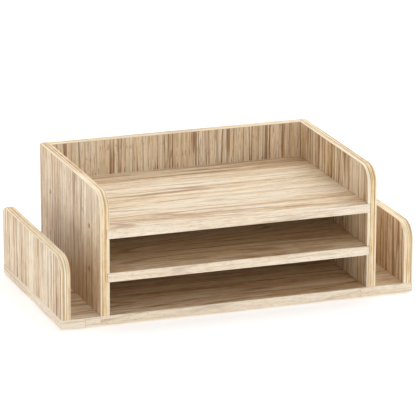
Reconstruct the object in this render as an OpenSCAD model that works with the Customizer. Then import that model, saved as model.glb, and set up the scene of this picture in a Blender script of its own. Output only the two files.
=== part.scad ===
// Desktop organizer: an open tray over two letter compartments, with an upright pocket at each end.
// Laminated boards with glued edging strips, held by countersunk screws and dowels.
// X runs left to right, Y front to back, Z up. The origin is on the desk, under the middle of the base.

/* [Overall] */
// Width over the two outer panels
organizer_w = 470; // [380:1:640]
// Depth from the front edges to the back edges
organizer_d = 250; // [200:1:340]

/* [Boards] */
// Thickness of every board
board_t = 12; // [10:0.5:18]
// Thickness of the edging strips, which is part of each board's size
edging_t = 0.8; // [0.4:0.1:2]
// Radius of the top front corners of the uprights
corner_r = 24; // [8:1:40]
// Radius of the top back corners of the outer panels
outer_back_r = 12; // [4:1:40]

/* [Compartments] */
// Clear height between the base and the middle shelf
lower_gap = 43; // [30:1:80]
// Clear height between the middle shelf and the top shelf
middle_gap = 44; // [30:1:80]
// Height of the tall panels and the back above the top shelf
fence_h = 47; // [30:1:90]
// Clear width of the pocket at each end
pocket_w = 39; // [28:1:60]
// Height of the outer panels above the base
outer_panel_h = 79; // [50:1:110]

/* [Housings] */
// Depth of the top shelf's housings in the tall panels
top_housing = 4; // [2:0.5:6]
// Depth of the middle shelf's housings in the tall panels
middle_housing = 3; // [2:0.5:6]
// Gap between a shelf's end and the bottom of its housing
housing_end_gap = 0.5; // [0.2:0.1:1]
// Gap between a shelf's upper face and its housing
housing_top_gap = 0.2; // [0.1:0.1:0.5]

/* [Fasteners] */
// Thread diameter of the screws
screw_d = 3.5; // [3:0.5:4]
// Length of the screws
screw_l = 30; // [25:1:35]
// Diameter of the screws' countersunk heads
screw_head_d = 7; // [6:0.5:8]
// Distance of the screws from the front and back edges of the boards
screw_inset = 45; // [35:1:60]
// Distance of the back panel's screws from the tall panels
back_screw_inset = 60; // [50:1:100]
// How far a screw's head lies below the board's face
screw_recess = 0.3; // [0.1:0.1:0.6]
// Diameter of the dowels
dowel_d = 6; // [5:0.5:7]
// Length of the dowels
dowel_l = 25; // [20:1:30]
// How far a dowel goes into the face of the board it stands in
dowel_seat = 7.5; // [5:0.5:8]
// Radial clearance round the screws and dowels
hole_clearance = 0.05; // [0.02:0.01:0.1]

/* [Pads] */
// Diameter of the pads under the base
pad_d = 18; // [12:1:22]
// Thickness of the pads
pad_t = 1.5; // [1:0.1:3]
// Distance of the pads' centres from the edges of the base
pad_inset = 26; // [22:1:30]

/* [Hidden] */
$fn = 48;

LEFT = -1;
RIGHT = 1;
// Extra length of a cut past the face that it opens
overcut = 1;

laminate_colour = "wheat";
edging_colour = "cornsilk";
steel_colour = "silver";
dowel_colour = "burlywood";
pad_colour = "dimgray";

// Heights
base_z = pad_t;
floor_z = base_z + board_t;
middle_shelf_z = floor_z + lower_gap;
top_shelf_z = middle_shelf_z + board_t + middle_gap;
tall_panel_h = top_shelf_z + board_t + fence_h - floor_z;

// Places across and along the organizer
front_y = -organizer_d / 2;
back_y = organizer_d / 2;
back_face_y = back_y - board_t;
outer_x = organizer_w / 2;
outer_centre_x = outer_x - board_t / 2;
tall_outside_x = outer_x - board_t - pocket_w;
tall_centre_x = tall_outside_x - board_t / 2;
tall_inside_x = tall_outside_x - board_t;

// Screw form: a short rim, then a cone at 45 degrees down to the thread, and a pointed tip
screw_rim_h = 0.5;
screw_tip_h = 4;
screw_cone_h = (screw_head_d - screw_d) / 2;
recess_span = screw_head_d * 0.56;
recess_slot = screw_head_d * 0.15;
recess_depth = 1.6;
dowel_chamfer = 0.6;
// Air left past the end of a screw or dowel
blind_gap = 0.5;

// Turns that point +Z where a fastener is driven
UP = [0, 0, 0];
TO_RIGHT = [0, 90, 0];
TO_LEFT = [0, -90, 0];
TO_FRONT = [90, 0, 0];

// Fastener sites: [point on the face or joint, turn]
screw_ys = [front_y + screw_inset, back_y - screw_inset];
back_screw_xs = [-tall_inside_x + back_screw_inset, tall_inside_x - back_screw_inset];

function foot_screw_sites(x) = [for (side = [LEFT, RIGHT], y = screw_ys) [[side * x, y, base_z], UP]];
function shelf_screw_sites(shelf_z) = [
    for (side = [LEFT, RIGHT], y = screw_ys)
        [[side * tall_outside_x, y, shelf_z + board_t / 2], side == LEFT ? TO_RIGHT : TO_LEFT]
];
function back_screw_sites(shelf_z) = [for (x = back_screw_xs) [[x, back_y, shelf_z + board_t / 2], TO_FRONT]];
function foot_dowel_sites(x) = [for (side = [LEFT, RIGHT]) [[side * x, 0, floor_z], UP]];

outer_screw_sites = foot_screw_sites(outer_centre_x);
tall_screw_sites = foot_screw_sites(tall_centre_x);
back_foot_screw_sites = [for (x = back_screw_xs) [[x, back_y - board_t / 2, base_z], UP]];
top_screw_sites = shelf_screw_sites(top_shelf_z);
middle_screw_sites = shelf_screw_sites(middle_shelf_z);
back_shelf_screw_sites = concat(back_screw_sites(top_shelf_z), back_screw_sites(middle_shelf_z));
upright_dowel_sites = concat(foot_dowel_sites(outer_centre_x), foot_dowel_sites(tall_centre_x));
back_dowel_zs = [middle_shelf_z - lower_gap / 2, top_shelf_z - middle_gap / 2, top_shelf_z + board_t + fence_h / 2];
back_dowel_sites = [
    for (side = [LEFT, RIGHT], z = back_dowel_zs)
        [[side * tall_inside_x, back_y - board_t / 2, z], side == LEFT ? TO_RIGHT : TO_LEFT]
];

module at_sites(sites) {
    for (site = sites) translate(site[0]) rotate(site[1]) children();
}

// A solid of revolution about Z, grown all round by a clearance: head, cone and thread, driven towards +Z
module screw_body(clearance, mouth, tip_gap) {
    head_r = screw_head_d / 2 + clearance;
    thread_r = screw_d / 2 + clearance;
    cone_z = screw_recess + screw_rim_h;
    thread_z = cone_z + screw_cone_h;
    end_z = screw_recess + screw_l + tip_gap;
    rotate_extrude() polygon([
        [0, screw_recess - mouth], [head_r, screw_recess - mouth], [head_r, cone_z],
        [thread_r, thread_z], [thread_r, end_z - screw_tip_h], [0, end_z]
    ]);
}

// Countersunk wood screw with a cross recess
module screw() {
    difference() {
        screw_body(0, 0, 0);
        for (turn = [0, 90]) rotate([0, 0, turn])
            translate([-recess_span / 2, -recess_slot / 2, screw_recess - overcut])
                cube([recess_span, recess_slot, recess_depth + overcut]);
    }
}

// The hole that a screw goes in, through one board and into the next
module screw_hole() {
    screw_body(hole_clearance, screw_recess + overcut, blind_gap);
}

module dowel() {
    dowel_r = dowel_d / 2;
    rotate_extrude() translate([0, -dowel_seat]) polygon([
        [0, 0], [dowel_r - dowel_chamfer, 0], [dowel_r, dowel_chamfer],
        [dowel_r, dowel_l - dowel_chamfer], [dowel_r - dowel_chamfer, dowel_l], [0, dowel_l]
    ]);
}

module dowel_hole() {
    translate([0, 0, -dowel_seat - blind_gap])
        cylinder(r = dowel_d / 2 + hole_clearance, h = dowel_l + 2 * blind_gap);
}

// Removes the holes of the given screws and dowels from a board
module drilled(screw_sites, dowel_sites) {
    difference() {
        children();
        at_sites(screw_sites) screw_hole();
        at_sites(dowel_sites) dowel_hole();
    }
}

module block(low, high) {
    translate(low) cube(high - low);
}

// What a rounded top corner leaves out; the corner is at the origin and the board runs to +X and -Y
module corner_waste(radius) {
    difference() {
        translate([-overcut, -radius]) square(radius + overcut);
        translate([radius, -radius]) circle(radius, $fn = 96);
    }
}

// Outline of an upright seen from the side: y from low to high, feet at foot, top corners rounded
module upright_outline(low, high, foot, top, front_r, back_r) {
    difference() {
        translate([low, foot]) square([high - low, top - foot]);
        if (front_r > 0) translate([low, top]) corner_waste(front_r);
        if (back_r > 0) translate([high, top]) mirror([1, 0]) corner_waste(back_r);
    }
}

// Extrudes a side outline into a board centred on centre_x
module upright(centre_x) {
    translate([centre_x - board_t / 2, 0, 0]) rotate([90, 0, 90]) linear_extrude(board_t) children();
}

// Core of an upright, inside its edging
module upright_core(centre_x, height, back_r) {
    upright(centre_x)
        upright_outline(front_y + edging_t, back_y - edging_t, floor_z, floor_z + height - edging_t,
                        corner_r - edging_t, max(back_r - edging_t, 0));
}

// Grooves in a tall panel for the ends of the two shelves, closed behind by the back panel
module housings(side) {
    for (groove = [[top_shelf_z, top_housing], [middle_shelf_z, middle_housing]])
        translate([side * tall_inside_x, 0, 0]) mirror([side == LEFT ? 1 : 0, 0, 0])
            block([-overcut, front_y - overcut, groove[0]],
                  [groove[1], back_face_y, groove[0] + board_t + housing_top_gap]);
}

module outer_panel(side) {
    color(laminate_colour) drilled(outer_screw_sites, upright_dowel_sites)
        upright_core(side * outer_centre_x, outer_panel_h, outer_back_r);
}

// One strip up the front edge, round both corners and down the back edge
module outer_edging(side) {
    top = floor_z + outer_panel_h;
    color(edging_colour) upright(side * outer_centre_x) difference() {
        upright_outline(front_y, back_y, floor_z, top, corner_r, outer_back_r);
        upright_outline(front_y + edging_t, back_y - edging_t, floor_z - overcut, top - edging_t,
                        corner_r - edging_t, outer_back_r - edging_t);
    }
}

module tall_panel(side) {
    color(laminate_colour) difference() {
        drilled(concat(tall_screw_sites, top_screw_sites, middle_screw_sites),
                concat(upright_dowel_sites, back_dowel_sites))
            upright_core(side * tall_centre_x, tall_panel_h, 0);
        housings(side);
    }
}

// A strip up the front edge, round the corner and along the top, and a strip down the back edge
module tall_edging(side) {
    top = floor_z + tall_panel_h;
    color(edging_colour) {
        difference() {
            upright(side * tall_centre_x) difference() {
                upright_outline(front_y, back_y, floor_z, top, corner_r, 0);
                upright_outline(front_y + edging_t, back_y + overcut, floor_z - overcut, top - edging_t,
                                corner_r - edging_t, 0);
            }
            housings(side);
        }
        upright(side * tall_centre_x) translate([back_y - edging_t, floor_z])
            square([edging_t, tall_panel_h - edging_t]);
    }
}

module base_board() {
    color(laminate_colour) drilled(concat(outer_screw_sites, tall_screw_sites, back_foot_screw_sites),
                                   upright_dowel_sites)
        block([-outer_x + edging_t, front_y + edging_t, base_z], [outer_x - edging_t, back_y - edging_t, floor_z]);
}

// Full-width strips in front and behind, and a strip between them at each end
module base_edging() {
    color(edging_colour) {
        block([-outer_x, front_y, base_z], [outer_x, front_y + edging_t, floor_z]);
        block([-outer_x, back_y - edging_t, base_z], [outer_x, back_y, floor_z]);
        for (x = [-outer_x, outer_x - edging_t])
            block([x, front_y + edging_t, base_z], [x + edging_t, back_y - edging_t, floor_z]);
    }
}

module back_panel() {
    color(laminate_colour) drilled(concat(back_foot_screw_sites, back_shelf_screw_sites), back_dowel_sites)
        block([-tall_inside_x, back_face_y, floor_z], [tall_inside_x, back_y, floor_z + tall_panel_h - edging_t]);
}

module back_edging() {
    top = floor_z + tall_panel_h;
    color(edging_colour) block([-tall_inside_x, back_face_y, top - edging_t], [tall_inside_x, back_y, top]);
}

// A shelf reaches into its housings and butts against the back panel
function shelf_end_x(housing) = tall_inside_x + housing - housing_end_gap;

module shelf(shelf_z, housing, screw_sites) {
    end_x = shelf_end_x(housing);
    color(laminate_colour) drilled(concat(screw_sites, back_shelf_screw_sites), [])
        block([-end_x, front_y + edging_t, shelf_z], [end_x, back_face_y, shelf_z + board_t]);
}

module shelf_edging(shelf_z, housing) {
    end_x = shelf_end_x(housing);
    color(edging_colour) block([-end_x, front_y, shelf_z], [end_x, front_y + edging_t, shelf_z + board_t]);
}

module screws(sites) {
    color(steel_colour) at_sites(sites) screw();
}

module dowels(sites) {
    color(dowel_colour) at_sites(sites) dowel();
}

module pads() {
    color(pad_colour) for (x = [-1, 1] * (outer_x - pad_inset), y = [-1, 1] * (back_y - pad_inset))
        translate([x, y, 0]) cylinder(d = pad_d, h = pad_t);
}

base_board();
base_edging();
outer_panel(LEFT);  // left_outer_panel
outer_edging(LEFT);  // left_outer_edging
outer_panel(RIGHT);  // right_outer_panel
outer_edging(RIGHT);  // right_outer_edging
tall_panel(LEFT);  // left_tall_panel
tall_edging(LEFT);  // left_tall_edging
tall_panel(RIGHT);  // right_tall_panel
tall_edging(RIGHT);  // right_tall_edging
back_panel();
back_edging();
shelf(top_shelf_z, top_housing, top_screw_sites);  // top_shelf
shelf_edging(top_shelf_z, top_housing);  // top_shelf_edging
shelf(middle_shelf_z, middle_housing, middle_screw_sites);  // middle_shelf
shelf_edging(middle_shelf_z, middle_housing);  // middle_shelf_edging
screws(outer_screw_sites);  // outer_panel_screws
screws(tall_screw_sites);  // tall_panel_screws
screws(back_foot_screw_sites);  // back_foot_screws
screws(top_screw_sites);  // top_shelf_screws
screws(middle_screw_sites);  // middle_shelf_screws
screws(back_shelf_screw_sites);  // back_shelf_screws
dowels(upright_dowel_sites);  // upright_dowels
dowels(back_dowel_sites);  // back_dowels
pads();
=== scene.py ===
"""Desk organizer: laminated boards with glued edging strips, screws, dowels and pads, in metres.

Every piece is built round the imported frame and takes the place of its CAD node. X runs left to right,
Y front to back, Z up, and the desk is at Z = 0.
"""

import math

import bmesh
import bpy
from mathutils import Matrix, Vector


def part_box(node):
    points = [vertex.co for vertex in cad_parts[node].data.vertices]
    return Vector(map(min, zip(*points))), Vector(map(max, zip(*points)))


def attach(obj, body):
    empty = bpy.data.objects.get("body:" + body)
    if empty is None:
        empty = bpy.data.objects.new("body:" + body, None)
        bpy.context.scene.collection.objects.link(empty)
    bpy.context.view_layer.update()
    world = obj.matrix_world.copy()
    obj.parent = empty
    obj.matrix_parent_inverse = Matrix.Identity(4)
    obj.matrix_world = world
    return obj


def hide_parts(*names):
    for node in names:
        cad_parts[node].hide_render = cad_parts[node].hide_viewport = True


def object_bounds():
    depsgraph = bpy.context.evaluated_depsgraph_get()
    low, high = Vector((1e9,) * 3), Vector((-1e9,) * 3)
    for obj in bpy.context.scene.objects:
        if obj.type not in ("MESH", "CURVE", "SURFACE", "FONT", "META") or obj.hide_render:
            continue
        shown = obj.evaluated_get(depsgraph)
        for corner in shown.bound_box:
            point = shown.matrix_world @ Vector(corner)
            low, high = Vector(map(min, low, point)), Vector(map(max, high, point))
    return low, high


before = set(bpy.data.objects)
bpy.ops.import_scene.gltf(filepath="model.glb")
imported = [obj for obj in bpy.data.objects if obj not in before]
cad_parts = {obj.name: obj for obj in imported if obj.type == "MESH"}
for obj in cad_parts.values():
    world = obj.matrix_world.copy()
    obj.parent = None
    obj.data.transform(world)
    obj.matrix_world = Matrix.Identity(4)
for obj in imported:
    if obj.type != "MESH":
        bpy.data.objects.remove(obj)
cad_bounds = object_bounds()

MM = 0.001
X, Y, Z = Vector((1, 0, 0)), Vector((0, 1, 0)), Vector((0, 0, 1))
ORIGIN = Vector((0, 0, 0))
WELD = 0.001 * MM

# Rounded corners of the uprights
FRONT_CORNER_R = 24 * MM
OUTER_BACK_CORNER_R = 12 * MM
CORNER_STEPS = 16

# Edging strips, and the boards' corners under them
EDGING_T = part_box("back_edging")[1].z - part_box("back_edging")[0].z
CORE_FRONT_R = FRONT_CORNER_R - EDGING_T
CORE_BACK_R = OUTER_BACK_CORNER_R - EDGING_T
EDGING_ARRIS_R = 0.6 * MM
EDGING_ARRIS_STEPS = 4

# Splices in the base's edging: how many metres along its figure each new length of tape starts, how far
# in from the board's end the first one is, and where its joint starts to darken and is darkest
SPLICE_SHIFT = 0.37
SPLICE_GAP = 31 * MM
JOINT_W = 0.3 * MM
JOINT_CORE_W = 0.1 * MM

# Boards: the eased seams, the least part of a large face's normal that lies along the thickness,
# and the angles past which an edge is eased or shaded as sharp
SEAM_BEVEL = 0.12 * MM
LARGE_FACE = 0.9
EASED_ANGLE = math.radians(40)
SHARP_ANGLE = math.radians(35)

# Housings that the shelves' ends sit in
HOUSING_END_GAP = 0.5 * MM
HOUSING_TOP_GAP = 0.2 * MM

# Holes for screws and dowels
HOLE_CLEARANCE = 0.05 * MM
HOLE_MOUTH = 1.0 * MM
HOLE_END_GAP = 0.5 * MM
HOLE_STEPS = 32

# Countersunk screws
SCREW_NODES = ("outer_panel_screws", "tall_panel_screws", "back_foot_screws",
               "top_shelf_screws", "middle_shelf_screws", "back_shelf_screws")
SCREW_SUNK = 0.3 * MM
SCREW_L = 30 * MM
SCREW_HEAD_R = 3.5 * MM
SCREW_HEAD_ROUNDING = 0.15 * MM
SCREW_RIM_H = 0.5 * MM
SCREW_NECK_R = 1.5 * MM
SCREW_ROOT_R = 1.2 * MM
SCREW_THREAD_R = 1.75 * MM
SCREW_THREAD_START = 11 * MM
SCREW_TIP_H = 4 * MM
SCREW_PITCH = 1.5 * MM
SCREW_STEPS = 24
# One turn of thread: shares of the pitch, and the radius there
SCREW_RIDGE = ((0.3, SCREW_ROOT_R), (0.6, SCREW_ROOT_R), (0.8, SCREW_THREAD_R), (0.85, SCREW_THREAD_R))

# The cross recess in a screw's head, turned so that its corners fall between the head's steps
RECESS_ARM = 1.96 * MM
RECESS_HALF_W = 0.55 * MM
RECESS_DEPTHS = (1.6 * MM, 1.5 * MM)
RECESS_TAPER = 0.55
RECESS_TURN = math.radians(7.5)

# Fluted dowels
DOWEL_NODES = ("upright_dowels", "back_dowels")
DOWEL_R = 3 * MM
DOWEL_FLUTES = 14
DOWEL_FLUTE_DEPTH = 0.25 * MM
DOWEL_CHAMFER = 0.6 * MM

# Pads
PAD_ROUNDING = 0.4 * MM
PAD_ROUNDING_STEPS = 4
PAD_STEPS = 48

# Studio
WHITE = (1.0, 1.0, 1.0, 1.0)
AMBIENT = 0.72
BACKDROP = 1.0
SOFTBOX_ENERGY = 1.2
SOFTBOX_ANGLE = math.radians(55)
SOFTBOX_AT = Vector((1.0, 1.1, 1.9))
FLOOR_HALF_SIZE = 25.0
FLOOR_GLOW = 0.38
CAMERA_AT = Vector((-1.47265, -4.07598, 1.39196))
CAMERA_AIM = Vector((0.00327, 0.00318, 0.09950))
CAMERA_ROLL = math.radians(0.2)
CAMERA_LENS = 305.2
CAMERA_SENSOR = 36


# ---------------------------------------------------------------- shader tools


def srgb(red, green, blue):
    """A linear colour from display values of 0 to 255."""
    def linear(value):
        share = value / 255
        return share / 12.92 if share <= 0.04045 else ((share + 0.055) / 1.055) ** 2.4
    return (linear(red), linear(green), linear(blue), 1.0)


class Wire:
    """A shader socket; arithmetic on it adds Math nodes."""

    def __init__(self, finish, socket):
        self.finish, self.socket = finish, socket

    def _math(self, operation, *values):
        return self.finish.node("ShaderNodeMath", {"operation": operation}, dict(enumerate(values)))

    def __add__(self, other):
        return self._math("ADD", self, other)

    def __sub__(self, other):
        return self._math("SUBTRACT", self, other)

    def __rsub__(self, other):
        return self._math("SUBTRACT", other, self)

    def __mul__(self, other):
        return self._math("MULTIPLY", self, other)

    __radd__, __rmul__ = __add__, __mul__

    def sawtooth(self):
        return self._math("FRACT", self)

    def above(self, value):
        return self._math("GREATER_THAN", self, value)

    def distance_to(self, value):
        return self._math("ABSOLUTE", self - value)


class Finish:
    """A procedural material under construction."""

    def __init__(self, name):
        self.material = bpy.data.materials.new(name)
        self.material.use_nodes = True
        self.tree = self.material.node_tree
        self.tree.nodes.clear()

    def node(self, kind, settings=None, inputs=None, output=0):
        """Adds a node: its settings first, then the values or links of its sockets."""
        made = self.tree.nodes.new(kind)
        for key, value in (settings or {}).items():
            if key == "stops":
                set_stops(made.color_ramp, value)
            else:
                setattr(made, key, value)
        for key, value in (inputs or {}).items():
            if isinstance(value, Wire):
                self.tree.links.new(value.socket, made.inputs[key])
            else:
                made.inputs[key].default_value = value
        return Wire(self, made.outputs[output])

    def place(self):
        """Where a point is on the organizer, in metres."""
        return self.node("ShaderNodeTexCoord", output="Object")

    def strip_place(self):
        """How far a point is along its edging strip and across it, in metres."""
        run, across, _ = self.parts(self.node("ShaderNodeTexCoord", output="UV"))
        return run, across

    def parts(self, vector):
        """The three parts of a vector."""
        split = self.node("ShaderNodeSeparateXYZ", {}, {0: vector}).socket.node
        return [Wire(self, socket) for socket in split.outputs]

    def vector(self, x, y, z):
        return self.node("ShaderNodeCombineXYZ", {}, {0: x, 1: y, 2: z})

    def stretch(self, vector, scale, offset=(0, 0, 0)):
        return self.node("ShaderNodeMapping", {}, {"Vector": vector, "Scale": scale, "Location": offset})

    def noise(self, vector, scale=1.0, detail=2.0, roughness=0.5):
        return self.node("ShaderNodeTexNoise", {}, {
            "Vector": vector, "Scale": scale, "Detail": detail, "Roughness": roughness})

    def cells(self, vector, output="Distance"):
        """A cell pattern: the distance to each cell's middle, or a random colour for each cell."""
        return self.node("ShaderNodeTexVoronoi", {}, {"Vector": vector, "Scale": 1.0}, output)

    def ramp(self, value, stops):
        """Colours or levels at places along a value."""
        return self.node("ShaderNodeValToRGB", {"stops": stops}, {"Fac": value})

    def between(self, value, low, high):
        """0 below low and 1 above high, with a smooth step between."""
        return self.node("ShaderNodeMapRange", {"interpolation_type": "SMOOTHSTEP"}, {
            "Value": value, "From Min": low, "From Max": high})

    def tint(self, mode, factor, below, above):
        """Mixes two colours."""
        settings = {"data_type": "RGBA", "blend_type": mode, "clamp_factor": True}
        return self.node("ShaderNodeMix", settings, {0: factor, 6: below, 7: above}, output=2)

    def surface(self, bump_height, bump_strength, bump_distance, **sockets):
        """Ends the material in a Principled BSDF with a bump."""
        normal = self.node("ShaderNodeBump", {}, {
            "Height": bump_height, "Strength": bump_strength, "Distance": bump_distance})
        inputs = {key.replace("_", " "): value for key, value in sockets.items()}
        shader = self.node("ShaderNodeBsdfPrincipled", {}, {**inputs, "Normal": normal})
        end = self.tree.nodes.new("ShaderNodeOutputMaterial")
        self.tree.links.new(shader.socket, end.inputs["Surface"])
        return self.material


def set_stops(ramp, stops):
    """Sets a colour ramp's stops: (place, colour) or (place, level)."""
    while len(ramp.elements) > 1:
        ramp.elements.remove(ramp.elements[-1])
    for index, (place, colour) in enumerate(stops):
        element = ramp.elements[0] if index == 0 else ramp.elements.new(place)
        element.position = place
        element.color = colour if isinstance(colour, tuple) else (colour, colour, colour, 1)


# ---------------------------------------------------------------- finishes

# Oak laminate, from light to dark, and the paler wood of the edging
LIGHT_CREAM = srgb(255, 241, 216)
CREAM = srgb(248, 227, 195)
SAND = srgb(233, 205, 166)
TAN = srgb(209, 171, 125)
BROWN = srgb(172, 127, 81)
UMBER = srgb(136, 80, 34)
LAMINATE_TONES = [(0.10, BROWN), (0.28, TAN), (0.46, SAND), (0.64, CREAM), (0.90, LIGHT_CREAM)]
PALE_EDGING = srgb(254, 243, 226)
GOLDEN_TONES = [
    (0.16, srgb(188, 138, 82)), (0.32, srgb(222, 180, 126)), (0.48, srgb(243, 209, 160)),
    (0.64, srgb(253, 229, 186)), (0.82, srgb(255, 243, 213))]
GOLDEN_LINE = srgb(168, 120, 66)
# Paler colour of the uprights' edging rims: a painted highlight along the arrises, together with the lighter
# trimmed edge
TRIM_AND_HIGHLIGHT_PALE = srgb(255, 242, 220)

FIBREBOARD_TONES = [(0.3, srgb(138, 104, 70)), (0.55, srgb(176, 140, 98)), (0.75, srgb(200, 168, 124))]
ZINC_TONES = [(0.35, srgb(152, 144, 130)), (0.6, srgb(196, 190, 176)), (0.75, srgb(214, 204, 176))]
BEECH_TONES = [(0.3, srgb(186, 140, 94)), (0.55, srgb(214, 172, 124)), (0.75, srgb(228, 192, 148))]
FOAM_TONES = [(0.2, srgb(28, 28, 30)), (0.55, srgb(48, 48, 50)), (0.8, srgb(66, 66, 66))]

# How a board was cut: how far its lines wander, its rings per metre across and along, how many there
# are, how strongly the fine lines show, how widely its tones spread, how often its lines break off,
# and its tone from dark to light
STRAIGHT = {"wave": 4 * MM, "rings_across": 26.0, "rings_along": 1.1, "rings": 8.0,
            "contrast": 1.4, "spread": 1.1, "breaks": 1.0, "tone": 0.65}
RUSTIC = {**STRAIGHT, "rings_across": 60.0, "rings": 5.0, "contrast": 1.6, "spread": 0.75, "tone": 0.70}
CATHEDRAL = {"wave": 6 * MM, "rings_across": 15.0, "rings_along": 1.3, "rings": 9.0,
             "contrast": 0.95, "spread": 0.90, "breaks": 1.3, "tone": 0.625}
EDGING_CUT = {"wave": 3 * MM, "rings_across": 40.0, "rings_along": 1.6, "rings": 4.0,
              "contrast": 1.0, "spread": 0.80, "breaks": 2.2, "tone": 0.76}
BASE_FRONT_CUT = {**EDGING_CUT, "tone": 0.88}
BASE_SIDE_CUT = {**EDGING_CUT, "contrast": 1.5, "tone": 0.60}
EDGING_PALENESS = 0.30
JOINT_DARKNESS = 0.5

# The uprights' edging: half its width, how far its lines wander, and where its rims pale from its edge: a
# painted highlight along the arrises, together with the lighter trimmed edge
BAND_HALF_W = 6 * MM
BAND_WAVE = 1.4 * MM
TRIM_HIGHLIGHT_INNER = 1.5 * MM
TRIM_HIGHLIGHT_OUTER = 0.5 * MM

# How often the figure changes through a board's thickness, and how far a seed moves it along the
# grain for each step across
DEPTH_PER_M = 60.0
SEED_ALONG = 0.7

# Where in the endless figure each sheet of laminate and length of edging was cut
CUT_FROM = {
    "left_outer_laminate": 40.28, "right_outer_laminate": 52.43,
    "left_tall_laminate": 49.6, "right_tall_laminate": 54.3, "back_laminate": 68.48,
    "base_board_laminate": 91.73, "middle_shelf_laminate": 97.83, "top_shelf_laminate": 103.93,
    "left_outer_band": 7.78, "right_outer_band": 11.68,
    "left_tall_band": 15.18, "right_tall_band": 26.13, "back_band": 21.1,
    "top_shelf_edging_band": 31.78, "middle_shelf_edging_band": 37.48,
    "base_band": 48.75, "base_side_band": 57.3}


class Grain:
    """The noise that one sheet of wood takes its figure from, stretched along the grain."""

    def __init__(self, finish, across, along, depth, seed, cut_of):
        self.finish, self.seed, self.breaks = finish, seed, cut_of["breaks"]
        self.place = finish.vector(across, along, depth)
        wander = self.field(14.0, 6.0, shift=3.0)
        self.place = finish.vector(across + (wander - 0.5) * cut_of["wave"], along, depth)

    def field(self, across_per_m, along_per_m, shift, detail=2.0, roughness=0.5):
        """Levels of 0 to 1 that change so many times a metre; each shift gives a field of its own."""
        scale = (across_per_m, along_per_m * self.breaks, DEPTH_PER_M)
        offset = (self.seed + shift, self.seed * SEED_ALONG, shift)
        return self.finish.noise(self.finish.stretch(self.place, scale, offset),
                                 detail=detail, roughness=roughness)

    def planks(self):
        """One level for each long, narrow plank."""
        scaled = self.finish.stretch(self.place, (120.0, 0.8, 0.0), (self.seed, self.seed, 0))
        return self.finish.cells(scaled, output="Color")

    def rings(self, cut_of):
        """Rises from 0 to 1 across each ring."""
        growth = self.field(cut_of["rings_across"], cut_of["rings_along"], shift=23.0, detail=1.0,
                            roughness=0.4)
        return (growth * cut_of["rings"]).sawtooth()


def wood_tone(grain, rings, cut_of):
    """Dark to light: soft bands and strips, finer threads and flecks, and the fall within each ring."""
    bands = grain.field(34.0, 1.2, shift=11.0) - 0.5
    strips = grain.field(200.0, 2.2, shift=17.0, detail=4.0, roughness=0.68) - 0.5
    threads = grain.field(560.0, 7.0, shift=53.0, roughness=0.6) - 0.5
    flecks = grain.field(430.0, 42.0, shift=61.0, roughness=0.6) - 0.5
    patches = grain.field(60.0, 14.0, shift=83.0, detail=3.0, roughness=0.6) - 0.5
    planks = grain.planks() - 0.5
    ring_fall = grain.finish.between(rings, 1.0, 0.80) * rings
    uneven = (strips * 1.15 + threads * 0.85 + flecks * 0.75 + planks * 0.20 + bands * 0.85
              + patches * 0.40 - ring_fall * 0.20)
    return uneven * cut_of["spread"] + cut_of["tone"]


def wood_figure(finish, across, along, depth, seed, cut_of):
    """Grain shared by the laminate and the flat edging, from metres across, along and through a board.

    Returns its colour and its height.
    """
    grain = Grain(finish, across, along, depth, seed, cut_of)
    contrast = cut_of["contrast"]
    rings = grain.rings(cut_of)
    colour = finish.ramp(wood_tone(grain, rings, cut_of), LAMINATE_TONES)

    pale_lines = finish.between(grain.field(300.0, 3.0, shift=73.0, roughness=0.6), 0.57, 0.65)
    colour = finish.tint("MIX", pale_lines * (0.40 * contrast), colour, LIGHT_CREAM)
    ring_edges = 1 - finish.between(rings.distance_to(0.86), 0.05, 0.12)
    broken = finish.between(grain.field(70.0, 9.0, shift=29.0), 0.36, 0.60)
    clusters = finish.between(grain.field(48.0, 1.4, shift=79.0, detail=1.0), 0.40, 0.56) * 0.75 + 0.25
    dark_lines = finish.between(grain.field(320.0, 2.6, shift=37.0, roughness=0.6), 0.56, 0.63) * clusters
    pores = finish.between(grain.field(800.0, 60.0, shift=41.0, roughness=0.6), 0.57, 0.68)
    for lines, strength in ((ring_edges * broken, 0.45), (dark_lines, 0.46), (pores, 0.36)):
        colour = finish.tint("MIX", lines * (strength * contrast), colour, UMBER)

    fibres = grain.field(1000.0, 26.0, shift=31.0, detail=3.0, roughness=0.65)
    colour = finish.tint("MULTIPLY", 1.0, colour, finish.ramp(fibres, [(0.30, 0.72), (0.58, 1.0)]))
    height = fibres * 0.5 - dark_lines * 0.3 - pores * 0.4 - ring_edges * 0.2
    return colour, height


def laminate(name, across_axis, along_axis, cut_of):
    """Oak-look laminate whose grain runs along one axis of the board's face."""
    finish = Finish(name)
    axes = finish.parts(finish.place())
    depth_axis = 3 - across_axis - along_axis
    colour, height = wood_figure(finish, axes[across_axis], axes[along_axis], axes[depth_axis],
                                 CUT_FROM[name], cut_of)
    smudges = finish.noise(finish.place(), scale=18.0, detail=3.0, roughness=0.6)
    return finish.surface(
        bump_height=height, bump_strength=0.25, bump_distance=0.12 * MM, Base_Color=colour,
        Roughness=finish.between(height, -0.4, 0.6) * -0.12 + smudges * 0.18 + 0.46,
        Specular_IOR_Level=0.4)


def spliced(finish, run, tone, splices):
    """The run and tone of a strip whose figure starts anew at each splice, and its hairline joints."""
    x = finish.parts(finish.place())[0]
    joints = 0.0
    for splice_x, step in splices:
        later = x.above(splice_x)
        run = later * SPLICE_SHIFT + run
        tone = later * step + tone
        joints = finish.between(x.distance_to(splice_x), JOINT_W, JOINT_CORE_W) + joints
    return run, tone, joints


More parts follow.
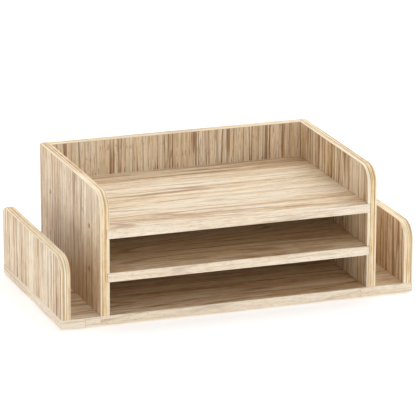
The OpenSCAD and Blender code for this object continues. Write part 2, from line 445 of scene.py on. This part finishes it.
def flat_edging(name, cut_of, splices=()):
    """Edging of the base and shelves: the laminate's own figure, along the strip, a little paler.

    The figure starts anew, in its own shade, at each splice from left to right: (X, change of tone).
    """
    finish = Finish(name)
    seed = CUT_FROM[name]
    run, across = finish.strip_place()
    tone = cut_of["tone"]
    if splices:
        run, tone, joints = spliced(finish, run, tone, splices)
    colour, height = wood_figure(finish, across, run, seed, seed, {**cut_of, "tone": tone})
    colour = finish.tint("MIX", EDGING_PALENESS, colour, PALE_EDGING)
    if splices:
        colour = finish.tint("MIX", joints * JOINT_DARKNESS, colour, BROWN)
    return finish.surface(
        bump_height=height, bump_strength=0.2, bump_distance=0.1 * MM, Base_Color=colour,
        Roughness=finish.between(height, -0.4, 0.6) * -0.1 + 0.52, Specular_IOR_Level=0.4)


def upright_band(name):
    """Edging of the uprights and back: fine golden lines along the strip, paler at its rims: a painted
    highlight along the arrises, together with the lighter trimmed edge.
    """
    finish = Finish(name)
    seed = CUT_FROM[name]
    run, across = finish.strip_place()
    place = finish.vector(across, run, seed)
    wander = finish.noise(finish.stretch(place, (60.0, 9.0, 1.0), (seed, 0, 0)), detail=1.0)
    bent = finish.vector(across + (wander - 0.5) * BAND_WAVE, run, seed)

    def field(across_per_m, along_per_m, shift, detail, roughness):
        scaled = finish.stretch(bent, (across_per_m, along_per_m, 1.0), (seed + shift, seed * SEED_ALONG, 0))
        return finish.noise(scaled, detail=detail, roughness=roughness)

    strips = field(360.0, 2.6, shift=5.0, detail=2.0, roughness=0.55)
    zones = field(45.0, 9.0, shift=9.0, detail=3.0, roughness=0.6)
    mottle = field(240.0, 60.0, shift=23.0, detail=3.0, roughness=0.6)
    dark_lines = finish.between(field(560.0, 5.0, shift=17.0, detail=1.0, roughness=0.5), 0.56, 0.63)
    fibres = field(1500.0, 40.0, shift=13.0, detail=3.0, roughness=0.6)
    tone = (strips - 0.5) * 2.0 + (zones - 0.5) * 0.6 + (mottle - 0.5) * 0.7 + 0.60
    colour = finish.ramp(tone, GOLDEN_TONES)
    colour = finish.tint("MIX", dark_lines * 0.62, colour, GOLDEN_LINE)
    colour = finish.tint("MULTIPLY", 1.0, colour, finish.ramp(fibres, [(0.28, 0.82), (0.60, 1.0)]))
    # Painted highlight: the rims near both arrises are mixed towards a paler colour, standing for light
    # caught on the rounded arrises as well as for the lighter trimmed edge
    trim_and_highlight = finish.between(across.distance_to(BAND_HALF_W), BAND_HALF_W - TRIM_HIGHLIGHT_INNER, BAND_HALF_W - TRIM_HIGHLIGHT_OUTER)
    colour = finish.tint("MIX", trim_and_highlight * 0.70, colour, TRIM_AND_HIGHLIGHT_PALE)
    return finish.surface(
        bump_height=fibres * 0.6 + strips * 0.4 - dark_lines * 0.2, bump_strength=0.2,
        bump_distance=0.1 * MM, Base_Color=colour, Roughness=fibres * 0.16 + 0.40,
        Specular_IOR_Level=0.4)


def fibreboard(name):
    """Bare board inside the laminate, seen in the holes and housings."""
    finish = Finish(name)
    flecks = finish.noise(finish.place(), scale=1400.0, detail=4.0, roughness=0.7)
    return finish.surface(
        bump_height=flecks, bump_strength=0.4, bump_distance=0.15 * MM,
        Base_Color=finish.ramp(flecks, FIBREBOARD_TONES), Roughness=flecks * 0.1 + 0.8)


def zinc(name):
    """Dull yellowish plating with fine scratches."""
    finish = Finish(name)
    patches = finish.noise(finish.place(), scale=420.0, detail=3.0, roughness=0.6)
    drawn_out = finish.stretch(finish.place(), (2600.0, 500.0, 2600.0))
    scratches = finish.noise(drawn_out, detail=3.0, roughness=0.6)
    return finish.surface(
        bump_height=scratches, bump_strength=0.15, bump_distance=0.05 * MM,
        Base_Color=finish.ramp(patches, ZINC_TONES), Metallic=1.0,
        Roughness=patches * 0.25 + scratches * 0.1 + 0.18)


def beech(name):
    """Raw beech with upright fibres."""
    finish = Finish(name)
    upright = finish.stretch(finish.place(), (900.0, 900.0, 60.0))
    fibres = finish.noise(upright, detail=4.0, roughness=0.65)
    return finish.surface(
        bump_height=fibres, bump_strength=0.35, bump_distance=0.1 * MM,
        Base_Color=finish.ramp(fibres, BEECH_TONES), Roughness=fibres * 0.15 + 0.6)


def foam(name):
    """Black foam rubber with open cells and a little dust."""
    finish = Finish(name)
    cells = finish.cells(finish.stretch(finish.place(), (1600.0, 1600.0, 1600.0)))
    dust = finish.noise(finish.place(), scale=300.0, detail=3.0, roughness=0.6)
    return finish.surface(
        bump_height=cells, bump_strength=0.5, bump_distance=0.1 * MM,
        Base_Color=finish.ramp(cells * 0.6 + dust * 0.4, FOAM_TONES), Roughness=dust * 0.12 + 0.82)


# ---------------------------------------------------------------- mesh tools


def path_of(bm, start, moves):
    """Draws a chain of edges: each move is a straight vector, or (centre, axis, angle) for an arc.

    Returns the chain's points in order.
    """
    tip = bm.verts.new(start)
    chain = [tip]
    for move in moves:
        if isinstance(move, Vector):
            tip = bmesh.ops.extrude_vert_indiv(bm, verts=[tip])["verts"][0]
            tip.co += move
            chain.append(tip)
        else:
            centre, axis, angle = move
            before = set(bm.verts)
            bmesh.ops.spin(bm, geom=[tip], cent=centre, axis=axis, angle=angle, steps=CORNER_STEPS,
                           use_duplicate=False)
            turned = tip.co - Vector(centre)
            chain += sorted(new_verts(bm, before), key=lambda v: turned.angle(v.co - Vector(centre)))
            tip = chain[-1]
    return [v.co.copy() for v in chain]


def new_verts(bm, before):
    return [v for v in bm.verts if v not in before]


def shift_swept(bm, swept, move):
    """Moves the far side of what an extrusion made."""
    far = [v for v in swept["geom"] if isinstance(v, bmesh.types.BMVert)]
    bmesh.ops.translate(bm, verts=far, vec=move)
    bmesh.ops.recalc_face_normals(bm, faces=bm.faces)


def soften(bm, edges, width, steps):
    bmesh.ops.bevel(bm, geom=edges, offset=width, offset_type="OFFSET", affect="EDGES", segments=steps,
                    profile=0.5, material=-1, clamp_overlap=True)


def add_box(bm, low, high):
    made = bmesh.ops.create_cube(bm, size=1.0)["verts"]
    bmesh.ops.scale(bm, verts=made, vec=high - low)
    bmesh.ops.translate(bm, verts=made, vec=(low + high) / 2)
    return made


def spin_profile(bm, points, matrix, steps):
    """Spins an outline of (radius, height) points, which ends on the axis, about Z, then places it."""
    before = set(bm.verts)
    verts = [bm.verts.new((radius, 0, height)) for radius, height in points]
    edges = [bm.edges.new(pair) for pair in zip(verts, verts[1:])]
    bmesh.ops.spin(bm, geom=verts + edges, cent=ORIGIN, axis=Z, angle=math.tau, steps=steps,
                   use_merge=True)
    bmesh.ops.remove_doubles(bm, verts=new_verts(bm, before), dist=WELD)
    bmesh.ops.transform(bm, matrix=matrix, verts=new_verts(bm, before))


def to_object(name, bm):
    bmesh.ops.recalc_face_normals(bm, faces=bm.faces)
    mesh = bpy.data.meshes.new(name)
    bm.to_mesh(mesh)
    bm.free()
    made = bpy.data.objects.new(name, mesh)
    bpy.context.scene.collection.objects.link(made)
    return made


def box_object(name, low, high):
    bm = bmesh.new()
    add_box(bm, low, high)
    return to_object(name, bm)


def apply_modifiers(piece):
    graph = bpy.context.evaluated_depsgraph_get()
    mesh = bpy.data.meshes.new_from_object(piece.evaluated_get(graph), preserve_all_data_layers=True,
                                           depsgraph=graph)
    piece.modifiers.clear()
    piece.data = mesh


def cut(piece, cutter):
    """Cuts the cutter's solids out of a piece and removes the cutter."""
    boolean = piece.modifiers.new("cut", "BOOLEAN")
    boolean.operation = "DIFFERENCE"
    boolean.solver = "EXACT"
    boolean.object = cutter
    apply_modifiers(piece)
    bpy.data.objects.remove(cutter)


def joined(name, pieces):
    """Several solids as one piece."""
    bm = bmesh.new()
    for piece in pieces:
        bm.from_mesh(piece.data)
        bpy.data.objects.remove(piece)
    return to_object(name, bm)


def finish_piece(piece, node, materials):
    """Shades a piece, gives it its materials and puts it in place of its CAD node."""
    for material in materials:
        piece.data.materials.append(material)
    piece.data.shade_smooth()
    piece.data.set_sharp_from_angle(angle=SHARP_ANGLE)
    weighted = piece.modifiers.new("normals", "WEIGHTED_NORMAL")
    weighted.keep_sharp = True
    apply_modifiers(piece)
    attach(piece, "root")
    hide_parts(node)


# ---------------------------------------------------------------- holes


def solids_in(node):
    """The boxes of a CAD node's separate solids."""
    bm = bmesh.new()
    bm.from_mesh(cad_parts[node].data)
    bmesh.ops.remove_doubles(bm, verts=bm.verts, dist=WELD)
    boxes, left = [], set(bm.verts)
    while left:
        front, solid = [left.pop()], []
        while front:
            vert = front.pop()
            solid.append(vert.co.copy())
            near = {e.other_vert(vert) for e in vert.link_edges} & left
            left -= near
            front += near
        boxes.append((Vector(map(min, zip(*solid))), Vector(map(max, zip(*solid)))))
    bm.free()
    return sorted(boxes, key=lambda box: tuple(box[0]))


def driven(box):
    """Where a fastener's outer end is and which way it points in, with its length and width."""
    low, high = box
    size = high - low
    axis = max(range(3), key=lambda i: size[i])
    middle = (low + high) / 2
    centre = (cad_bounds[0] + cad_bounds[1]) / 2
    outwards = 1 if middle[axis] > centre[axis] else -1
    head = middle.copy()
    head[axis] = high[axis] if outwards > 0 else low[axis]
    direction = Vector((0, 0, 0))
    direction[axis] = -outwards
    return head, direction, size[axis], min(size)


def stand(head, direction):
    """Turns +Z at the origin to a direction at a point."""
    return Matrix.Translation(head) @ direction.to_track_quat("Z", "Y").to_matrix().to_4x4()


def screw_hole(bm, box):
    head, direction, length, head_d = driven(box)
    head_r = head_d / 2 + HOLE_CLEARANCE
    hole_r = SCREW_THREAD_R + HOLE_CLEARANCE
    mouth, end = -SCREW_SUNK - HOLE_MOUTH, length + HOLE_END_GAP
    spin_profile(bm, [
        (0, mouth), (head_r, mouth), (head_r, SCREW_RIM_H), (hole_r, SCREW_RIM_H + head_r - hole_r),
        (hole_r, end - SCREW_TIP_H), (0, end)], stand(head, direction), HOLE_STEPS)


def dowel_hole(bm, box):
    head, direction, length, dowel_d = driven(box)
    radius = dowel_d / 2 + HOLE_CLEARANCE
    start, end = -HOLE_END_GAP, length + HOLE_END_GAP
    spin_profile(bm, [(0, start), (radius, start), (radius, end), (0, end)],
                 stand(head, direction), HOLE_STEPS)


def overlaps(box, low, high):
    return all(box[0][i] < high[i] and box[1][i] > low[i] for i in range(3))


def hole_cutter(low, high):
    """One mesh with the holes of every fastener that meets a board."""
    bm = bmesh.new()
    for nodes, add_hole in ((SCREW_NODES, screw_hole), (DOWEL_NODES, dowel_hole)):
        for node in nodes:
            for box in solids_in(node):
                if overlaps(box, low, high):
                    add_hole(bm, box)
    return to_object("cutter", bm)


def housing_boxes(side):
    """The grooves in a tall panel for the two shelves' ends."""
    inside_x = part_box("back_panel")[1].x
    boxes = []
    for shelf in ("top_shelf", "middle_shelf"):
        low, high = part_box(shelf)
        near_x, far_x = sorted((side * (inside_x - HOLE_MOUTH), side * (high.x + HOUSING_END_GAP)))
        boxes.append((Vector((near_x, cad_bounds[0].y - HOLE_MOUTH, low.z)),
                      Vector((far_x, high.y, high.z + HOUSING_TOP_GAP))))
    return boxes


# ---------------------------------------------------------------- boards


def finish_board(bm, node, thickness_axis, material, housings=()):
    """Drills a board and cuts its housings.

    Its large faces keep the laminate, slot 0; its cut edges, holes and housings are bare board, slot 1.
    """
    low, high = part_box(node)
    piece = to_object(node + "_finish", bm)
    cut(piece, hole_cutter(low, high))
    for housing in housings:
        cut(piece, box_object("groove", *housing))
    for face in piece.data.polygons:
        face.material_index = 0 if abs(face.normal[thickness_axis]) > LARGE_FACE else 1
    finish_piece(piece, node, [material, bpy.data.materials["bare_fibreboard"]])


def upright_board(node, front_r, back_r, material, housings=()):
    """A side of the organizer with round top corners, from its outline in the plane of its left face."""
    low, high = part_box(node)
    bm = bmesh.new()
    outline = ((low.y, low.z), (high.y, low.z), (high.y, high.z), (low.y, high.z))
    verts = [bm.verts.new((low.x, y, z)) for y, z in outline]
    bm.faces.new(verts)
    for vert, radius in ((verts[2], back_r), (verts[3], front_r)):
        if radius > 0:
            bmesh.ops.bevel(bm, geom=[vert], offset=radius, offset_type="OFFSET", affect="VERTICES",
                            segments=CORNER_STEPS, profile=0.5, material=-1)
    swept = bmesh.ops.extrude_face_region(bm, geom=bm.faces[:])
    shift_swept(bm, swept, X * (high.x - low.x))
    corners = [e for e in bm.edges if len(e.link_faces) == 2 and e.calc_face_angle(0) > EASED_ANGLE]
    soften(bm, corners, SEAM_BEVEL, 1)
    finish_board(bm, node, 0, material, housings)


def flat_board(node, thickness_axis, material):
    bm = bmesh.new()
    add_box(bm, *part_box(node))
    soften(bm, bm.edges[:], SEAM_BEVEL, 1)
    finish_board(bm, node, thickness_axis, material)


def build_boards():
    fibreboard("bare_fibreboard")
    for side, name in ((-1, "left"), (1, "right")):
        outer_wood = laminate(name + "_outer_laminate", across_axis=1, along_axis=2, cut_of=STRAIGHT)
        tall_wood = laminate(name + "_tall_laminate", across_axis=1, along_axis=2, cut_of=STRAIGHT)
        upright_board(name + "_outer_panel", CORE_FRONT_R, CORE_BACK_R, outer_wood)
        upright_board(name + "_tall_panel", CORE_FRONT_R, 0, tall_wood, housing_boxes(side))
    flat_board("back_panel", 1, laminate("back_laminate", across_axis=0, along_axis=2, cut_of=RUSTIC))
    for node in ("base_board", "middle_shelf", "top_shelf"):
        flat_board(node, 2, laminate(node + "_laminate", across_axis=1, along_axis=0, cut_of=CATHEDRAL))


# ---------------------------------------------------------------- edging strips


def lay_uvs(piece, points, across):
    """Lays the UV map along a strip: U is the distance along its path, V the distance across it."""
    mesh = piece.data
    layer = mesh.uv_layers.new(name="run")
    steps = [(a, b - a) for a, b in zip(points, points[1:])]
    starts = [sum(step.length for _, step in steps[:index]) for index in range(len(steps))]

    def run_and_width(co):
        width = (co - points[0]).dot(across)
        flat = co - across * width
        found = []
        for (a, step), start in zip(steps, starts):
            share = min(max((flat - a).dot(step) / step.length_squared, 0.0), 1.0)
            found.append(((flat - a - step * share).length, start + share * step.length))
        return min(found)[1], width

    places = [run_and_width(vert.co) for vert in mesh.vertices]
    for loop in mesh.loops:
        layer.data[loop.index].uv = places[loop.vertex_index]


def strip(name, start, moves, across, width, inwards, notches=()):
    """An edging strip that follows a path; start and moves draw one long edge of its outer face."""
    bm = bmesh.new()
    points = path_of(bm, start, moves)
    swept = bmesh.ops.extrude_edge_only(bm, edges=bm.edges[:])
    shift_swept(bm, swept, across * width)
    first = min(bm.faces, key=lambda face: (face.calc_center_median() - start).length)
    if first.normal.dot(inwards) > 0:
        bmesh.ops.reverse_faces(bm, faces=bm.faces)
    arrises = [e for e in bm.edges
               if e.is_boundary and abs((e.verts[0].co - e.verts[1].co).dot(across)) < WELD]
    bmesh.ops.solidify(bm, geom=bm.faces[:], thickness=EDGING_T)
    soften(bm, arrises, EDGING_ARRIS_R, EDGING_ARRIS_STEPS)
    piece = to_object(name, bm)
    for notch in notches:
        cut(piece, box_object("notch", *notch))
    lay_uvs(piece, points, across)
    return piece


def upright_edging(node, front_r, back_r, material, notches=()):
    """Edging of an upright. Without a back radius, the top strip runs off over a separate back strip."""
    low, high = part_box(node)
    width = high.x - low.x
    front_centre = (low.x, low.y + front_r, high.z - front_r)
    back_centre = (low.x, high.y - back_r, high.z - back_r)
    moves = [Z * (high.z - low.z - front_r), (front_centre, X, -math.pi / 2),
             Y * (high.y - low.y - front_r - back_r)]
    if back_r:
        moves += [(back_centre, X, -math.pi / 2), -Z * (high.z - low.z - back_r)]
    strips = [strip(node + "_front", low, moves, X, width, Y, notches)]
    if not back_r:
        foot = Vector((low.x, high.y, low.z))
        strips.append(strip(node + "_back", foot, [Z * (high.z - low.z - EDGING_T)], X, width, -Y))
    finish_piece(joined(node + "_finish", strips), node, [material])


def straight_edging(node, materials, runs):
    """Edging of a flat board.

    Each run is one strip: (material number, start, move, across, width, inwards).
    """
    strips = []
    for number, start, move, across, width, inwards in runs:
        tape = strip(node + "_run", start, [move], across, width, inwards)
        for face in tape.data.polygons:
            face.material_index = number
        strips.append(tape)
    finish_piece(joined(node + "_finish", strips), node, materials)


def build_base_edging():
    """Front and back strips over the full width, with the side strips between them."""
    low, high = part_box("base_edging")
    size = high - low
    side_move = Y * (size.y - 2 * EDGING_T)
    left_foot = Vector((low.x, low.y + EDGING_T, low.z))
    splices = [(low.x + SPLICE_GAP, 0.03),
               (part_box("left_tall_panel")[0].x, -0.13),
               (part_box("right_tall_panel")[0].x - SPLICE_GAP / 4, -0.03)]
    front_band = flat_edging("base_band", BASE_FRONT_CUT, splices)
    side_band = flat_edging("base_side_band", BASE_SIDE_CUT)
    straight_edging("base_edging", [front_band, side_band], [
        (0, low, X * size.x, Z, size.z, Y),
        (0, low + Y * size.y, X * size.x, Z, size.z, -Y),
        (1, left_foot, side_move, Z, size.z, X),
        (1, left_foot + X * size.x, side_move, Z, size.z, -X)])


def build_edgings():
    for side, name in ((-1, "left"), (1, "right")):
        upright_edging(name + "_outer_edging", FRONT_CORNER_R, OUTER_BACK_CORNER_R,
                       upright_band(name + "_outer_band"))
        upright_edging(name + "_tall_edging", FRONT_CORNER_R, 0,
                       upright_band(name + "_tall_band"), housing_boxes(side))
    low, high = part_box("back_edging")
    size = high - low
    straight_edging("back_edging", [upright_band("back_band")], [
        (0, low + Z * size.z, X * size.x, Y, size.y, -Z)])
    for node in ("top_shelf_edging", "middle_shelf_edging"):
        low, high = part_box(node)
        size = high - low
        straight_edging(node, [flat_edging(node + "_band", EDGING_CUT)], [
            (0, low, X * size.x, Z, size.z, Y)])
    build_base_edging()


# ---------------------------------------------------------------- screws, dowels and pads


def screw_template():
    """A countersunk wood screw with its head's face at the origin, driven towards +Z."""
    outline = [(0, 0), (SCREW_HEAD_R - SCREW_HEAD_ROUNDING, 0), (SCREW_HEAD_R, SCREW_HEAD_ROUNDING),
               (SCREW_HEAD_R, SCREW_RIM_H), (SCREW_NECK_R, SCREW_RIM_H + SCREW_HEAD_R - SCREW_NECK_R),
               (SCREW_NECK_R, SCREW_THREAD_START)]
    for turn in range(int((SCREW_L - SCREW_TIP_H - SCREW_THREAD_START) / SCREW_PITCH)):
        at = SCREW_THREAD_START + turn * SCREW_PITCH
        outline += [(radius, at + share * SCREW_PITCH) for share, radius in SCREW_RIDGE]
    outline += [(SCREW_ROOT_R, SCREW_L - SCREW_TIP_H), (0, SCREW_L)]
    bm = bmesh.new()
    spin_profile(bm, outline, Matrix.Identity(4), SCREW_STEPS)
    piece = to_object("screw", bm)
    for quarter, depth in enumerate(RECESS_DEPTHS):
        slot = bmesh.new()
        corner = Vector((RECESS_ARM, RECESS_HALF_W, depth))
        verts = add_box(slot, -corner, corner)
        for vert in verts:
            if vert.co.z > 0:
                vert.co.x *= RECESS_TAPER
        turn = Matrix.Rotation(RECESS_TURN + quarter * math.pi / 2, 3, "Z")
        bmesh.ops.rotate(slot, cent=ORIGIN, matrix=turn, verts=verts)
        cut(piece, to_object("recess", slot))
    return piece


def dowel_template(length):
    """A fluted dowel along +Z."""
    bm = bmesh.new()
    rim = bmesh.ops.create_circle(bm, cap_ends=True, segments=DOWEL_FLUTES * 3, radius=DOWEL_R)["verts"]
    for vert in rim[::3]:
        vert.co *= 1 - DOWEL_FLUTE_DEPTH / DOWEL_R
    swept = bmesh.ops.extrude_face_region(bm, geom=bm.faces[:])
    shift_swept(bm, swept, Z * length)
    ends = [e for e in bm.edges if any(len(face.verts) > 4 for face in e.link_faces)]
    soften(bm, ends, DOWEL_CHAMFER, 1)
    return to_object("dowel", bm)


def copies(name, template, node):
    """One mesh of a template set at each fastener of a node."""
    bm = bmesh.new()
    for box in solids_in(node):
        head, direction, _, _ = driven(box)
        before = set(bm.verts)
        bm.from_mesh(template.data)
        bmesh.ops.transform(bm, matrix=stand(head, direction), verts=new_verts(bm, before))
    return to_object(name, bm)


def build_fasteners():
    steel = zinc("zinc_plated_steel")
    screw = screw_template()
    for node in SCREW_NODES:
        finish_piece(copies(node + "_finish", screw, node), node, [steel])
    bpy.data.objects.remove(screw)
    wood = beech("beech_dowel")
    for node in DOWEL_NODES:
        dowel = dowel_template(driven(solids_in(node)[0])[2])
        finish_piece(copies(node + "_finish", dowel, node), node, [wood])
        bpy.data.objects.remove(dowel)


def build_pads():
    """Round pads with their lower rim rounded over."""
    bm = bmesh.new()
    turns = [math.pi / 2 * step / PAD_ROUNDING_STEPS for step in range(PAD_ROUNDING_STEPS + 1)]
    for low, high in solids_in("pads"):
        radius, height = (high.x - low.x) / 2, high.z - low.z
        foot = Vector(((low.x + high.x) / 2, (low.y + high.y) / 2, low.z))
        bend = [(radius - PAD_ROUNDING * (1 - math.sin(turn)), PAD_ROUNDING * (1 - math.cos(turn)))
                for turn in turns]
        spin_profile(bm, [(0, 0), *bend, (radius, height), (0, height)], Matrix.Translation(foot), PAD_STEPS)
    finish_piece(to_object("pads_finish", bm), "pads", [foam("foam_pad")])


# ---------------------------------------------------------------- studio


def build_floor():
    """A light table: white, and faintly lit from within, so that it stays white to the horizon."""
    bm = bmesh.new()
    bmesh.ops.create_grid(bm, x_segments=1, y_segments=1, size=FLOOR_HALF_SIZE)
    floor = to_object("studio_floor", bm)
    finish = Finish("white_floor")
    speckle = finish.noise(finish.place(), scale=3.0)
    white = finish.surface(
        bump_height=speckle, bump_strength=0.02, bump_distance=MM,
        Base_Color=finish.ramp(speckle, [(0.3, 0.88), (0.7, 0.90)]), Roughness=0.9,
        Specular_IOR_Level=0.1, Emission_Color=WHITE, Emission_Strength=FLOOR_GLOW)
    floor.data.materials.append(white)


def build_studio():
    """Even light from all round, a white backdrop, and a softbox above and behind."""
    world = bpy.data.worlds.new("studio")
    world.use_nodes = True
    tree = world.node_tree
    background = tree.nodes["Background"]
    background.inputs["Color"].default_value = WHITE
    brightness = tree.nodes.new("ShaderNodeMapRange")
    brightness.inputs["To Min"].default_value = AMBIENT
    brightness.inputs["To Max"].default_value = BACKDROP
    light_path = tree.nodes.new("ShaderNodeLightPath")
    tree.links.new(light_path.outputs["Is Camera Ray"], brightness.inputs["Value"])
    tree.links.new(brightness.outputs["Result"], background.inputs["Strength"])
    bpy.context.scene.world = world
    lamp = bpy.data.lights.new("softbox", "SUN")
    lamp.energy = SOFTBOX_ENERGY
    lamp.angle = SOFTBOX_ANGLE
    softbox = bpy.data.objects.new("softbox", lamp)
    softbox.location = SOFTBOX_AT
    softbox.rotation_euler = (-SOFTBOX_AT).to_track_quat("-Z", "Y").to_euler()
    bpy.context.scene.collection.objects.link(softbox)
    bpy.context.scene.view_settings.view_transform = "Standard"


def add_camera():
    lens = bpy.data.cameras.new("camera")
    lens.lens = CAMERA_LENS
    lens.sensor_width = CAMERA_SENSOR
    camera = bpy.data.objects.new("camera", lens)
    camera.location = CAMERA_AT
    aimed = (CAMERA_AIM - CAMERA_AT).to_track_quat("-Z", "Y").to_matrix().to_4x4()
    camera.rotation_euler = (aimed @ Matrix.Rotation(CAMERA_ROLL, 4, "Z")).to_euler()
    bpy.context.scene.collection.objects.link(camera)
    bpy.context.scene.camera = camera


build_floor()
build_studio()
add_camera()
build_boards()
build_edgings()
build_fasteners()
build_pads()
